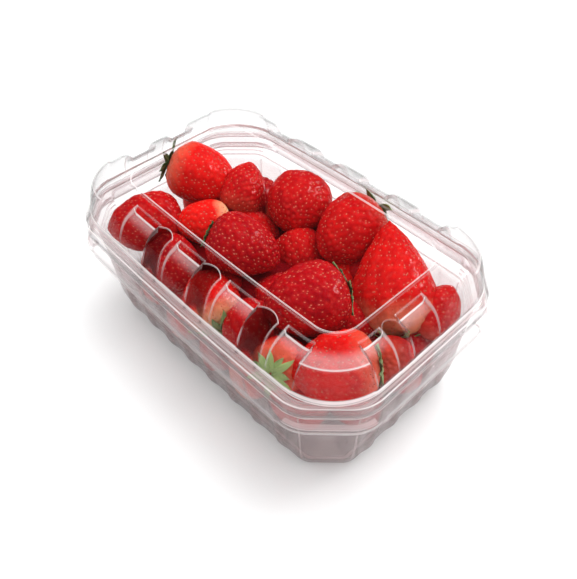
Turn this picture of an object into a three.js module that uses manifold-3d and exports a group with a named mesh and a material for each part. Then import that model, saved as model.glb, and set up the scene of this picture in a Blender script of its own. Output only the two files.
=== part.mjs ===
// Punnet of strawberries: a clear fluted tray, a clear press-on lid and the heap of berries inside.
// Units are millimetres, +Z is up, +X runs along the length.
// The origin is on the resting plane, under the middle of the tray.
import * as THREE from 'three';
import Module from 'manifold-3d';

const wasm = await Module();
wasm.setup();

// ---- driving dimensions -------------------------------------------------
const SHEET = 0.6; // thickness of the formed plastic
const SIDE_BOW = 1; // outward bow of the long sides at their middle
const HALF_TURN = Math.tan(Math.PI / 8); // tangent length of a 45 degree rounding, as a share of its radius
const MOST_TURN = 0.7; // radians that the stations of a side may run on round a corner
const LEG_OF_ARC = 2 - Math.SQRT2; // leg of the chamfer that two such roundings fill exactly

const LID_RIM = { hl: 93, hw: 58.75, c: 21, r: 17 }; // outline of the skirt that hangs over the tray
const LID_FOOT = { hl: 90.5, hw: 55, r: 28 }; // outline where the wall of the lid starts
const LID_RIM_WIDTH = 2.5; // flange of the lid, on the short sides
const LID_SKIRT_Z = 57.1;
const LID_FLANGE_Z = 63.8;
const CROWN_Z = 80.9;
const CROWN_INSET = 18.5; // inner edge of the flat crown
const PANEL_Z = 79.2;
const PANEL_INSET = 20.4;

const TRAY_RIM = { hl: 95, hw: 60.75, c: 21.5, r: 18 };
const RIB_PITCH = 16;
const RIB_HALF_WIDTH = 4.5;
const RIB_DEPTH = 1.6;
const RIB_COUNTS = [4, 8]; // on a short and on a long side
const TRAY_STRAIGHT = [31, 65.5]; // half the straight run of a short and of a long side

const CORNER_SHARES = [0.06, 0.25, 0.43, 0.57, 0.75, 0.94]; // round one corner

// Profiles are [inset, height] from the free edge to the last ring before the flat middle.
const LID_PROFILES = {
  knob: [[1.4, 68], [2.8, 72], [4.4, 75.8], [6.4, 78.6], [9, 80.3], [12.2, CROWN_Z]],
  tile: [[1.2, 68.2], [2.6, 71.2], [5, 74.6], [8.4, 76.6], [11.4, 77.1], [13.4, CROWN_Z]],
  pad: [[0.9, 68], [1.8, 72.5], [2.9, 76.6], [4.3, 79.2], [6.6, 80.5], [10, CROWN_Z]],
  shoulder: [[1.2, 68], [2.4, 72.2], [3.8, 76.1], [5.5, 78.8], [7.8, 80.4], [11, CROWN_Z]],
};
const TRAY_BODY = [[7.2, 62.4], [8.6, 49], [8.9, 44], [10.8, 13], [13.4, 4], [19.5, SHEET]];
const TRAY_PROFILES = {
  side: [[0, 49], [0.8, 56], [4, 56.4], [4, 61.9], ...TRAY_BODY],
  corner: [[0.6, 49], [0.8, 52.4], [4, 53], [4, 61.9], ...TRAY_BODY],
};
const RIBBED_RINGS = [6, 7]; // of the tray's profile

// Windows pressed in the wall of the lid, [start, end] along each side, counter-clockwise.
const LID_TILES = [
  [[-29.7, -18.7], [-8.4, 6]],
  [[-58.3, -43.6], [-27.9, -12.5], [5.1, 18.1], [35.8, 49.7]],
  [[-14.4, -2.1], [8.8, 21.3]],
  [[-44.4, -27.4], [-11.7, 3.9], [21, 37], [54.1, 68]],
];
const TILE_EDGE = 1.3; // run of the step at each end of a window
const PAD_LIMIT = [32, 62]; // where the corner pads end, along the short and the long sides
const PAD_EDGE = 1.5; // run of the change from a pad to the wall beside it
const LEAST_SHOULDER = 4; // a window nearer to a pad than this meets the pad itself

// Berries that show: [x, y, z, length, width, yaw, pitch, taper], axis from the calyx to the tip.
const BERRIES = [
  [-66, 7.5, 60.5, 37, 32, 30, -17, 0.4],
  [-43, 17, 58, 27, 22.5, 115, 40, 0.3],
  [-16, 31, 57, 32, 32, -55, 0, 0.2],
  [-10.6, -11.6, 59, 36, 28, 30, -18, 0.5],
  [-65, -28, 50, 38, 31, -110, 10, 0.4],
  [-43, -8, 51, 28, 23, 55, -5, 0.3],
  [17, 34, 58, 37, 32, -90, -10, 0.5],
  [50, 27, 50, 54, 39, 140, 43, 2.2],
  [36.7, -13.6, 60, 38, 32.5, -115, 0, 0.4],
  [0, 16, 42, 28, 26, -15, -20, 0.4],
  [67, -26.5, 52, 36, 31, -132, -5, 0.3],
  [44, -37, 44, 29, 25, 114, -13, 0.5],
  [-5, -36, 43, 31, 27, 158, 18, 0.5],
  [-38, -34, 44, 31, 26, 10, -18, 0.5],
  [74.5, -1.5, 43, 25, 20, 97, -38, 0.5],
  [71.5, 32, 43, 27, 23, 95, 40, 0.5],
  [23, 22, 36, 27, 25, 135, 25, 0.4],
  [19, -31, 40, 30, 27, 15, -5, 0.4],
  [69, 17, 30, 26, 23, 10, -5, 0.4],
];
// Calyxes that show: [berry, leaves, reach, first angle, lift of the tips].
const CALYXES = [
  [0, 7, 12, 10, 4],
  [6, 7, 14, 35, 3.5],
  [7, 8, 17, 0, 2.5],
  [10, 6, 10, 20, 2],
  [11, 8, 12, 5, 3],
  [12, 7, 12, 30, 2.5],
];
// Lower berries stand round the core in rings: [count, x radius, y radius, height, first angle, sweep].
const LOWER_RINGS = [
  [13, 66, 34.5, 18, 8, 360],
  [6, 67, 35, 39, 45, 150],
];
const SEAM = 0.12; // slivers along the seams between berries are merged within this
const LOWER_BERRY = { length: 31, width: 27, taper: 0.4 };
const GOLDEN_ANGLE = 137.5;
const CORE_SIDES = 20;
// The core's levels: [height, half length, half width].
const CORE = [[1.6, 48, 21], [4, 58, 28], [26, 64, 31], [38, 62, 29], [44, 54, 22], [46, 44, 13]];

const radians = (degrees) => (degrees * Math.PI) / 180;
const mix = (a, b, share) => a + (b - a) * share;
const squared = (value) => Math.sign(value) * Math.abs(value) ** 0.55; // bends a circle towards a rectangle

// ---- outlines -----------------------------------------------------------
// An outline is a rectangle with chamfered corners, each of whose two turns is rounded.
function lidOutline(inset) {
  if (inset < 0) {
    const share = -inset / LID_RIM_WIDTH;
    return {
      hl: mix(LID_FOOT.hl, LID_RIM.hl, share),
      hw: mix(LID_FOOT.hw, LID_RIM.hw, share),
      c: mix(LID_FOOT.r * LEG_OF_ARC, LID_RIM.c, share),
      r: mix(LID_FOOT.r, LID_RIM.r, share),
    };
  }
  const r = LID_FOOT.r - 0.8 * inset;
  return { hl: LID_FOOT.hl - 0.967 * inset, hw: LID_FOOT.hw - 1.054 * inset, c: r * LEG_OF_ARC, r };
}

function trayOutline(inset) {
  return {
    hl: TRAY_RIM.hl - inset,
    hw: TRAY_RIM.hw - inset,
    c: TRAY_RIM.c - 0.586 * inset,
    r: TRAY_RIM.r - 0.8 * inset,
  };
}

// Sides are counted counter-clockwise from +X; each has an outward normal and a running direction.
const NORMALS = [[1, 0], [0, 1], [-1, 0], [0, -1]];
const RUNS = [[0, 1], [-1, 0], [0, -1], [1, 0]];

const reach = (o, side) => (side % 2 ? o.hw : o.hl);
const straight = (o, side) => (side % 2 ? o.hl : o.hw) - o.c - o.r * HALF_TURN;

// How far a side's station has turned round the corner; it nears MOST_TURN without reaching it.
function turnAt(o, side, s) {
  const beyond = Math.max(0, (Math.abs(s) - straight(o, side)) / o.r);
  return MOST_TURN * (1 - Math.exp(-beyond / MOST_TURN));
}

function inPlane(side, out, along) {
  return [
    NORMALS[side][0] * out + RUNS[side][0] * along,
    NORMALS[side][1] * out + RUNS[side][1] * along,
  ];
}

function onSide(o, side, s) {
  const flat = straight(o, side);
  const turn = turnAt(o, side, s);
  const bow = side % 2 ? SIDE_BOW * Math.max(0, 1 - (s / flat) ** 2) : 0;
  const along = turn > 0 ? Math.sign(s) * (flat + o.r * Math.sin(turn)) : s;
  return inPlane(side, reach(o, side) - o.r * (1 - Math.cos(turn)) + bow, along);
}

function roundCorner(o, side, turn) {
  const next = (side + 1) % 4;
  const first = turn < Math.PI / 4;
  const centre = first
    ? inPlane(side, reach(o, side) - o.r, straight(o, side))
    : inPlane(next, reach(o, next) - o.r, -straight(o, next));
  const arm = inPlane(side, o.r * Math.cos(turn), o.r * Math.sin(turn));
  return [centre[0] + arm[0], centre[1] + arm[1]];
}

function place(o, station) {
  if (station.share === undefined) return onSide(o, station.side, station.s);
  const start = turnAt(o, station.side, station.before);
  const end = Math.PI / 2 - turnAt(o, (station.side + 1) % 4, station.after);
  return roundCorner(o, station.side, mix(start, end, station.share));
}

// Adds the stations of the four corners between the stations of the four sides.
function withCorners(sides, kind) {
  return sides.flatMap((stations, side) => {
    const before = stations.at(-1).s;
    const after = sides[(side + 1) % 4][0].s;
    return [...stations, ...CORNER_SHARES.map((share) => ({ side, share, before, after, kind }))];
  });
}

// ---- formed sheet -------------------------------------------------------
// The second face of the sheet is the profile moved by the thickness, with mitred turns.
function offsetProfile(profile, thickness) {
  const normals = profile.map(([d, z], i) => {
    const [dn, zn] = profile[i + 1] ?? [d + 1, z];
    const length = Math.hypot(dn - d, zn - z);
    return [(zn - z) / length, (d - dn) / length];
  });
  return profile.map(([d, z], i) => {
    const [a, b] = [normals[Math.max(0, i - 1)], normals[i]];
    const scale = thickness / (1 + a[0] * b[0] + a[1] * b[1]);
    return [d + (a[0] + b[0]) * scale, z + (a[1] + b[1]) * scale];
  });
}

function solid(vertices, triangles) {
  const made = (flip) =>
    new wasm.Manifold(
      new wasm.Mesh({
        numProp: 3,
        vertProperties: new Float32Array(vertices.flat()),
        triVerts: new Uint32Array(triangles.flatMap(([a, b, c]) => (flip ? [a, c, b] : [a, b, c]))),
      }),
    );
  const body = made(false);
  return body.volume() > 0 ? body : made(true);
}

// Loops the profiles round the stations, on both faces, and closes the middle with a fan.
function formedSheet(stations, outline) {
  const vertices = [];
  const triangles = [];
  const count = stations.length;
  const rings = stations[0].profile.length;
  const face = (profileOf, turned) => {
    const base = vertices.length;
    for (let ring = 0; ring < rings; ring += 1) {
      for (const station of stations) {
        const [inset, z] = profileOf(station)[ring];
        vertices.push([...place(outline(inset), station), z]);
      }
    }
    const centre = vertices.push([0, 0, vertices.at(-1)[2]]) - 1;
    const add = (a, b, c) => triangles.push(turned ? [a, c, b] : [a, b, c]);
    for (let i = 0; i < count; i += 1) {
      const j = (i + 1) % count;
      for (let ring = 0; ring + 1 < rings; ring += 1) {
        const low = base + ring * count;
        add(low + i, low + j, low + count + j);
        add(low + i, low + count + j, low + count + i);
      }
      add(centre - count + i, centre - count + j, centre);
    }
    return base;
  };
  const outer = face((station) => station.profile, false);
  const inner = face((station) => offsetProfile(station.profile, SHEET), true);
  for (let i = 0; i < count; i += 1) {
    const j = (i + 1) % count;
    triangles.push([outer + j, outer + i, inner + i], [outer + j, inner + i, inner + j]);
  }
  return solid(vertices, triangles);
}

// ---- lid ----------------------------------------------------------------
function lidProfile(kind) {
  return [
    [-LID_RIM_WIDTH, LID_SKIRT_Z],
    [-LID_RIM_WIDTH, LID_FLANGE_Z],
    [0, LID_FLANGE_Z],
    ...LID_PROFILES[kind],
    [CROWN_INSET, CROWN_Z],
    [PANEL_INSET, PANEL_Z],
  ];
}

// Stations of one side: each window steps in over TILE_EDGE, and knobs stand between the windows.
function lidSide(tiles, side) {
  const stations = [];
  const limit = PAD_LIMIT[side % 2];
  const last = tiles.length - 1;
  const shoulderBefore = tiles[0][0] + limit > LEAST_SHOULDER;
  const shoulderAfter = limit - tiles[last][1] > LEAST_SHOULDER;
  const besides = (s, shoulder) => {
    if (Math.abs(s) > limit) return 'pad';
    return shoulder ? 'shoulder' : 'knob';
  };
  if (shoulderBefore) stations.push([-limit - PAD_EDGE, 'pad'], [-limit, 'shoulder']);
  tiles.forEach(([start, end], i) => {
    stations.push([start - TILE_EDGE, besides(start, i === 0 && shoulderBefore)]);
    stations.push([start, 'tile'], [(start + end) / 2, 'tile'], [end, 'tile']);
    stations.push([end + TILE_EDGE, besides(end, i === last && shoulderAfter)]);
    if (i < last) stations.push([(end + tiles[i + 1][0]) / 2, 'knob']);
  });
  if (shoulderAfter) stations.push([limit, 'shoulder'], [limit + PAD_EDGE, 'pad']);
  return stations.map(([s, kind]) => ({ side, s, kind }));
}

function buildLid() {
  const stations = withCorners(LID_TILES.map(lidSide), 'pad');
  const shaped = stations.map((station) => ({ ...station, profile: lidProfile(station.kind) }));
  return formedSheet(shaped, lidOutline);
}

// ---- tray ---------------------------------------------------------------
// Ribs stand out from the body, RIB_PITCH apart; the skirt turns in at the corners.
function traySide(side) {
  const ribs = RIB_COUNTS[side % 2];
  const end = TRAY_STRAIGHT[side % 2];
  const stations = [{ side, s: -end, kind: 'side', rib: 0 }];
  for (let i = 0; i < ribs; i += 1) {
    const s = (i - (ribs - 1) / 2) * RIB_PITCH;
    for (const step of [-1, 0, 1]) {
      stations.push({ side, s: s + step * RIB_HALF_WIDTH, kind: 'side', rib: step === 0 ? RIB_DEPTH : 0 });
    }
  }
  stations.push({ side, s: end, kind: 'side', rib: 0 });
  return stations;
}

function trayProfile(station) {
  return TRAY_PROFILES[station.kind].map(([inset, z], ring) =>
    RIBBED_RINGS.includes(ring) ? [inset - (station.rib ?? 0), z] : [inset, z],
  );
}

function buildTray() {
  const stations = withCorners([0, 1, 2, 3].map(traySide), 'corner');
  return formedSheet(stations.map((station) => ({ ...station, profile: trayProfile(station) })), trayOutline);
}

// ---- berries ------------------------------------------------------------
const WIDEST = 0.36; // share of the length, from the calyx, where a berry is widest
const MIDDLE = 0.45; // share of the length where the centre of a berry is given

// Radius of a berry, as a share of half its width, at share t of its length.
function berryRadius(t, taper) {
  if (t < WIDEST) {
    const s = 1 - t / WIDEST;
    return 0.42 * Math.sqrt(1 - s ** 2) + 0.58 * Math.sqrt(1 - s ** 4);
  }
  const s = (t - WIDEST) / (1 - WIDEST);
  return (1 - s ** (2.3 - 0.4 * taper)) ** (0.62 + 0.12 * taper);
}

function berryFrame([x, y, z, length, width, yaw, pitch, taper]) {
  const a = radians(yaw);
  const b = radians(pitch);
  const axis = new THREE.Vector3(Math.cos(a) * Math.cos(b), Math.sin(a) * Math.cos(b), Math.sin(b));
  const across = new THREE.Vector3(Math.sin(a), -Math.cos(a), 0);
  const upper = new THREE.Vector3().crossVectors(across, axis);
  const at = (t, radius, turn) =>
    new THREE.Vector3(x, y, z)
      .addScaledVector(axis, (t - MIDDLE) * length)
      .addScaledVector(across, radius * Math.cos(turn))
      .addScaledVector(upper, radius * Math.sin(turn))
      .toArray();
  return { at, length, width, taper };
}

function berry(row, seed, sides, levels) {
  const { at, width, taper } = berryFrame(row);
  const vertices = [at(0, 0, 0)];
  const triangles = [];
  levels.forEach((t) => {
    for (let i = 0; i < sides; i += 1) {
      const turn = (2 * Math.PI * i) / sides;
      const lobes = 1 + 0.03 * Math.sin(2 * turn + seed) + 0.02 * Math.sin(3 * turn + 2.4 * seed);
      vertices.push(at(t, (width / 2) * berryRadius(t, taper) * lobes, turn));
    }
  });
  const tip = vertices.push(at(1, 0, 0)) - 1;
  for (let i = 0; i < sides; i += 1) {
    const j = (i + 1) % sides;
    triangles.push([0, 1 + j, 1 + i], [tip, tip - sides + i, tip - sides + j]);
    for (let low = 1; low + sides < tip; low += sides) {
      triangles.push([low + i, low + j, low + sides + j], [low + i, low + sides + j, low + sides + i]);
    }
  }
  return solid(vertices, triangles);
}

// A calyx is one thin star of leaves, folded along each leaf, laid over the shoulder of its berry.
function calyx([index, leaves, reachOut, firstAngle, lift]) {
  const { at, length, width } = berryFrame(BERRIES[index]);
  const thickness = 1.4;
  const point = (radius, turn, height) => {
    const fall = WIDEST * (1 - Math.sqrt(Math.max(0, 1 - ((2 * radius) / width) ** 2)));
    return at(fall - height / length, radius, turn);
  };
  const vertices = [];
  const triangles = [];
  const valley = 0.36 * reachOut;
  for (const under of [0, 1]) {
    const drop = under * thickness;
    const base = vertices.length;
    vertices.push(point(0, 0, 0.9 - drop));
    for (let i = 0; i < leaves; i += 1) {
      const turn = radians(firstAngle) + (2 * Math.PI * i) / leaves;
      const wave = Math.sin(2.7 * i + index);
      vertices.push(point(valley, turn - Math.PI / leaves, 0.3 - drop));
      vertices.push(point(1.3 * valley, turn, 1.5 - drop));
      const end = reachOut * (0.9 + 0.12 * wave);
      vertices.push(point(end, turn + 0.15 * wave, lift * (1 + 0.5 * wave) - drop));
    }
    for (let i = 0; i < leaves; i += 1) {
      const [v, ridge, tip] = [1, 2, 3].map((k) => base + 3 * i + k);
      const next = base + 1 + 3 * ((i + 1) % leaves);
      const fold = [[base, v, ridge], [v, tip, ridge], [ridge, tip, next], [base, ridge, next]];
      fold.forEach(([a, b, c]) => triangles.push(under ? [a, c, b] : [a, b, c]));
    }
  }
  const other = vertices.length / 2;
  for (let i = 0; i < leaves; i += 1) {
    const [v, tip] = [3 * i + 1, 3 * i + 3];
    const next = 1 + 3 * ((i + 1) % leaves);
    for (const [a, b] of [[v, tip], [tip, next]]) {
      triangles.push([b, a, other + a], [b, other + a, other + b]);
    }
  }
  return solid(vertices, triangles);
}

// The core is a rounded block that every berry touches.
function heapCore() {
  const sides = CORE_SIDES;
  const vertices = [[0, 0, CORE[0][0]]];
  const triangles = [];
  for (const [z, halfLength, halfWidth] of CORE) {
    for (let i = 0; i < sides; i += 1) {
      const turn = (2 * Math.PI * i) / sides;
      vertices.push([halfLength * squared(Math.cos(turn)), halfWidth * squared(Math.sin(turn)), z]);
    }
  }
  const top = vertices.push([0, 0, CORE.at(-1)[0]]) - 1;
  for (let i = 0; i < sides; i += 1) {
    const j = (i + 1) % sides;
    triangles.push([0, 1 + j, 1 + i], [top, top - sides + i, top - sides + j]);
    for (let low = 1; low + sides < top; low += sides) {
      triangles.push([low + i, low + j, low + sides + j], [low + i, low + sides + j, low + sides + i]);
    }
  }
  return solid(vertices, triangles);
}

// A ring of lower berries, close to the walls, each turned and sized a little differently.
function lowerRing([count, xRadius, yRadius, z, firstAngle, sweep], ring) {
  const rows = [];
  for (let i = 0; i < count; i += 1) {
    const turn = radians(firstAngle + (sweep * i) / count);
    const wobble = Math.sin(4.3 * i + 2 * ring);
    rows.push([
      xRadius * squared(Math.cos(turn)),
      yRadius * squared(Math.sin(turn)),
      z + wobble,
      LOWER_BERRY.length + wobble,
      LOWER_BERRY.width + wobble,
      GOLDEN_ANGLE * i,
      20 * wobble,
      LOWER_BERRY.taper,
    ]);
  }
  return rows;
}

function buildHeap() {
  const shown = BERRIES.map((row, i) => berry(row, i, 10, [0.08, 0.32, 0.62, 0.88]));
  const lower = LOWER_RINGS.flatMap(lowerRing).map((row, i) => berry(row, i, 7, [0.12, 0.42, 0.8]));
  const stars = CALYXES.map(calyx);
  // The spaces shut in between berries are filled: only the outer skin is kept.
  const pieces = wasm.Manifold.union([heapCore(), ...shown, ...lower, ...stars]).simplify(SEAM).decompose();
  return pieces.reduce((best, piece) => (piece.volume() > best.volume() ? piece : best));
}

// ---- assembly -----------------------------------------------------------
function meshOf(name, body, colour, roughness, opacity) {
  const { vertProperties, triVerts } = body.getMesh();
  const geometry = new THREE.BufferGeometry();
  geometry.setAttribute('position', new THREE.BufferAttribute(vertProperties, 3));
  geometry.setIndex(new THREE.BufferAttribute(triVerts, 1));
  const material = new THREE.MeshStandardMaterial({ color: colour, roughness, metalness: 0 });
  material.transparent = opacity < 1;
  material.opacity = opacity;
  const mesh = new THREE.Mesh(geometry, material);
  mesh.name = name;
  return mesh;
}

const punnet = new THREE.Group();
punnet.name = 'strawberry_punnet';
punnet.add(meshOf('tray', buildTray(), 0xe6ebea, 0.12, 0.35));
punnet.add(meshOf('lid', buildLid(), 0xeef2f2, 0.08, 0.3));
punnet.add(meshOf('strawberries', buildHeap(), 0xb01522, 0.35, 1));

export default punnet;
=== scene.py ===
"""Punnet of strawberries: clear tray, clear lid and the berries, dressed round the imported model."""
import logging
import math
from dataclasses import dataclass, field
from enum import Enum
from typing import Any, ClassVar, Optional, Sequence

import bpy
import numpy as np
from mathutils import Matrix, Vector


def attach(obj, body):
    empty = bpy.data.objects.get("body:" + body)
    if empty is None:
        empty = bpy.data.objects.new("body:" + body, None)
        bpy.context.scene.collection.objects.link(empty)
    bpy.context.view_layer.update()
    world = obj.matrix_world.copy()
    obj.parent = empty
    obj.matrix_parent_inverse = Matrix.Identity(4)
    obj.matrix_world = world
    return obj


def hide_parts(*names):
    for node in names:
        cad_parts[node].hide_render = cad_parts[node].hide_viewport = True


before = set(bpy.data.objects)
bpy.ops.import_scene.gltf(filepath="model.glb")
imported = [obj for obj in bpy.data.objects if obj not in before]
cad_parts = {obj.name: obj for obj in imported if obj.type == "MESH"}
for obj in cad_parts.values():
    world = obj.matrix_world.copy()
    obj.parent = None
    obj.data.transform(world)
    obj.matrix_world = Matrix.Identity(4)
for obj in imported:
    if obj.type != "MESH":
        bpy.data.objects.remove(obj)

LOG = logging.getLogger("punnet")
MM = 0.001
BODY = "root"
WHITE = (1.0, 1.0, 1.0)

Pair = tuple[float, float]
Triple = tuple[float, float, float]
Face = tuple[int, ...]


# ---------------------------------------------------------------- shader writing
class Socket:
    """A node's output with arithmetic: an expression on it adds Math nodes."""

    def __init__(self, graph: "Graph", output: Any) -> None:
        """Wraps one output of a node of that graph."""
        self.graph = graph
        self.output = output

    def _math(self, operation: str, *values: Any) -> "Socket":
        """Adds a Math node with that operation on those numbers or sockets."""
        return self.graph.node("ShaderNodeMath", {"operation": operation}, dict(enumerate(values)))

    def __add__(self, other: Any) -> "Socket":
        """self + other."""
        return self._math("ADD", self, other)

    def __radd__(self, other: Any) -> "Socket":
        """other + self."""
        return self._math("ADD", other, self)

    def __sub__(self, other: Any) -> "Socket":
        """self - other."""
        return self._math("SUBTRACT", self, other)

    def __rsub__(self, other: Any) -> "Socket":
        """other - self."""
        return self._math("SUBTRACT", other, self)

    def __mul__(self, other: Any) -> "Socket":
        """self * other."""
        return self._math("MULTIPLY", self, other)

    def __rmul__(self, other: Any) -> "Socket":
        """other * self."""
        return self._math("MULTIPLY", other, self)

    def __pow__(self, other: Any) -> "Socket":
        """self ** other."""
        return self._math("POWER", self, other)

    def __abs__(self) -> "Socket":
        """abs(self)."""
        return self._math("ABSOLUTE", self)

    def clamp(self, low: float = 0.0, high: float = 1.0) -> "Socket":
        """Keeps the value between low and high."""
        return self._math("MINIMUM", self._math("MAXIMUM", self, low), high)


def rgba(colour: Any) -> Any:
    """A colour with its alpha; a socket stays as it is."""
    return colour if isinstance(colour, Socket) else (*colour, 1.0)


class Graph:
    """The node tree of one material or sky, emptied and ready to be written."""

    def __init__(self, owner: Any) -> None:
        """Takes over the tree of a material or world.

        Args:
            owner: the material or world.
        """
        self.owner = owner
        owner.use_nodes = True
        self.tree = owner.node_tree
        self.tree.nodes.clear()

    def node(
        self,
        kind: str,
        settings: Optional[dict[str, Any]] = None,
        inputs: Optional[dict[Any, Any]] = None,
        output: Any = 0,
    ) -> Socket:
        """Adds any node.

        Args:
            kind: the node's type name.
            settings: its properties by name.
            inputs: values or sockets by the name or number of the input.
            output: the name or number of the output to return.

        Returns:
            That output.
        """
        made = self.tree.nodes.new(kind)
        for key, value in (settings or {}).items():
            setattr(made, key, value)
        for key, value in (inputs or {}).items():
            if isinstance(value, Socket):
                self.tree.links.new(value.output, made.inputs[key])
            else:
                made.inputs[key].default_value = value
        return Socket(self, made.outputs[output])

    def attribute(self, name: str) -> Socket:
        """Reads an attribute of the mesh."""
        return self.node("ShaderNodeAttribute", {"attribute_name": name}, output="Fac")

    def place(self) -> Socket:
        """Object coordinates, in metres."""
        return self.node("ShaderNodeTexCoord", output="Object")

    def height(self, place: Socket) -> Socket:
        """The upright part of a place or direction."""
        return self.node("ShaderNodeSeparateXYZ", inputs={0: place}, output="Z")

    def vector(self, operation: str, first: Any, second: Any, output: str = "Vector") -> Socket:
        """Adds a Vector Math node with that operation on two vectors."""
        return self.node("ShaderNodeVectorMath", {"operation": operation}, {0: first, 1: second}, output)

    def noise(self, scale: float, detail: float = 2.0, stretch: Optional[Triple] = None) -> Socket:
        """Noise on Object coordinates.

        Args:
            scale: waves in each metre.
            detail: octaves.
            stretch: further waves along each axis.

        Returns:
            The noise.
        """
        place = self.place() if stretch is None else self.vector("MULTIPLY", self.place(), stretch)
        inputs = {"Vector": place, "Scale": scale, "Detail": detail}
        return self.node("ShaderNodeTexNoise", inputs=inputs)

    def ease(self, value: Socket, low: float, high: float) -> Socket:
        """Eases from 0 at low to 1 at high."""
        limits = {"Value": value, "From Min": low, "From Max": high}
        return self.node("ShaderNodeMapRange", {"interpolation_type": "SMOOTHSTEP"}, limits)

    def fade(self, value: Socket, low: float, high: float) -> Socket:
        """Eases from 1 at low to 0 at high."""
        return 1.0 - self.ease(value, low, high)

    def line(self, value: Socket, place: float, width: float) -> Socket:
        """1 where the value is at that place, 0 beyond that width on either side."""
        return self.fade(abs(value - place), 0.3 * width, width)

    def mix_colour(self, share: Socket, first: Any, second: Any) -> Socket:
        """Mixes two colours or sockets, by share of the second."""
        inputs = {0: share, 6: rgba(first), 7: rgba(second)}
        return self.node("ShaderNodeMix", {"data_type": "RGBA"}, inputs, output=2)

    def bump(self, height: Socket, strength: float, distance: float) -> Socket:
        """A normal bumped by a height, its distance in metres."""
        inputs = {"Strength": strength, "Distance": distance, "Height": height}
        return self.node("ShaderNodeBump", inputs=inputs)

    def principled(self, colour: Any, roughness: Any, others: Optional[dict[str, Any]] = None) -> Socket:
        """Adds a Principled surface, its other inputs given by name."""
        inputs = {"Base Color": rgba(colour), "Roughness": roughness, **(others or {})}
        return self.node("ShaderNodeBsdfPrincipled", inputs=inputs)

    def see_through(self, colour: Triple) -> Socket:
        """Adds a transparent surface that colours what shows through."""
        return self.node("ShaderNodeBsdfTransparent", inputs={"Color": rgba(colour)})

    def mix_surface(self, share: Socket, first: Socket, second: Socket) -> Socket:
        """Mixes two surfaces, by share of the second."""
        return self.node("ShaderNodeMixShader", inputs={0: share, 1: first, 2: second})

    def finish(self, surface: Socket, kind: str = "ShaderNodeOutputMaterial") -> Any:
        """Links the surface to the output and hands over the material or world."""
        self.tree.links.new(surface.output, self.tree.nodes.new(kind).inputs["Surface"])
        return self.owner


# ---------------------------------------------------------------- finishes
@dataclass(frozen=True)
class ClearPlastic:
    """Thin clear sheet: see-through face on, greyer and glossier where it is seen on edge."""

    name: str
    face: Triple = (0.985, 0.980, 0.981)
    edge: Triple = (0.15, 0.155, 0.15)
    edge_power: float = 6.5
    haze: float = 0.001
    haze_colour: Triple = (0.95, 0.87, 0.87)
    haze_roughness: float = 0.4
    smear: float = 60.0
    # Strengths of the painted highlights along the bends and of the painted reflection, both laid on as pale
    # film.
    crease_highlight: float = 0.5
    reflection_veil: float = 0.25
    gloss_roughness: float = 0.05
    straight_on: float = 0.004
    grazing: float = 0.5
    grazing_power: float = 5.0
    streak: float = 0.0
    streak_waves: Triple = (300.0, 300.0, 45.0)
    streaked: Pair = (0.5, 0.72)
    streak_depth: float = 0.0008

    def streaks(self, g: Graph) -> Socket:
        """Noise drawn out upright, for a crumpled wall."""
        return g.noise(1.0, 3.0, self.streak_waves)

    def tint(self, g: Graph) -> Socket:
        """How much darker what shows through is, besides the edges."""
        return g.ease(self.streaks(g), *self.streaked) * self.streak

    def film(self, g: Graph) -> Socket:
        """How much of a pale film lies on it: a smeared haze, painted highlights along the bends, and a
        painted reflection.
        """
        smear = (g.noise(self.smear, 3.0) * 0.5 + 0.75) * self.haze
        # Painted highlights along the bends and a painted reflection, on top of the smeared haze.
        return smear + g.attribute("crease_highlight") * self.crease_highlight + g.attribute("reflection_veil") * self.reflection_veil

    def make(self) -> bpy.types.Material:
        """Builds the material.

        Returns:
            The material, a mirror over a film over a see-through sheet.
        """
        g = Graph(bpy.data.materials.new(self.name))
        facing = g.node("ShaderNodeLayerWeight", inputs={"Blend": 0.5}, output="Facing")
        mirror = (facing**self.grazing_power * self.grazing + self.straight_on).clamp()
        grey = (facing**self.edge_power + self.tint(g)).clamp()
        through = g.mix_surface(grey, g.see_through(self.face), g.see_through(self.edge))
        matte = g.principled(self.haze_colour, self.haze_roughness)
        hazed = g.mix_surface(self.film(g).clamp(), through, matte)
        shine: dict[str, Any] = {"Metallic": 1.0}
        if self.streak > 0.0:
            shine["Normal"] = g.bump(self.streaks(g), self.streak, self.streak_depth)
        gloss = g.principled(WHITE, self.gloss_roughness, shine)
        return g.finish(g.mix_surface(mirror, hazed, gloss))


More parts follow.
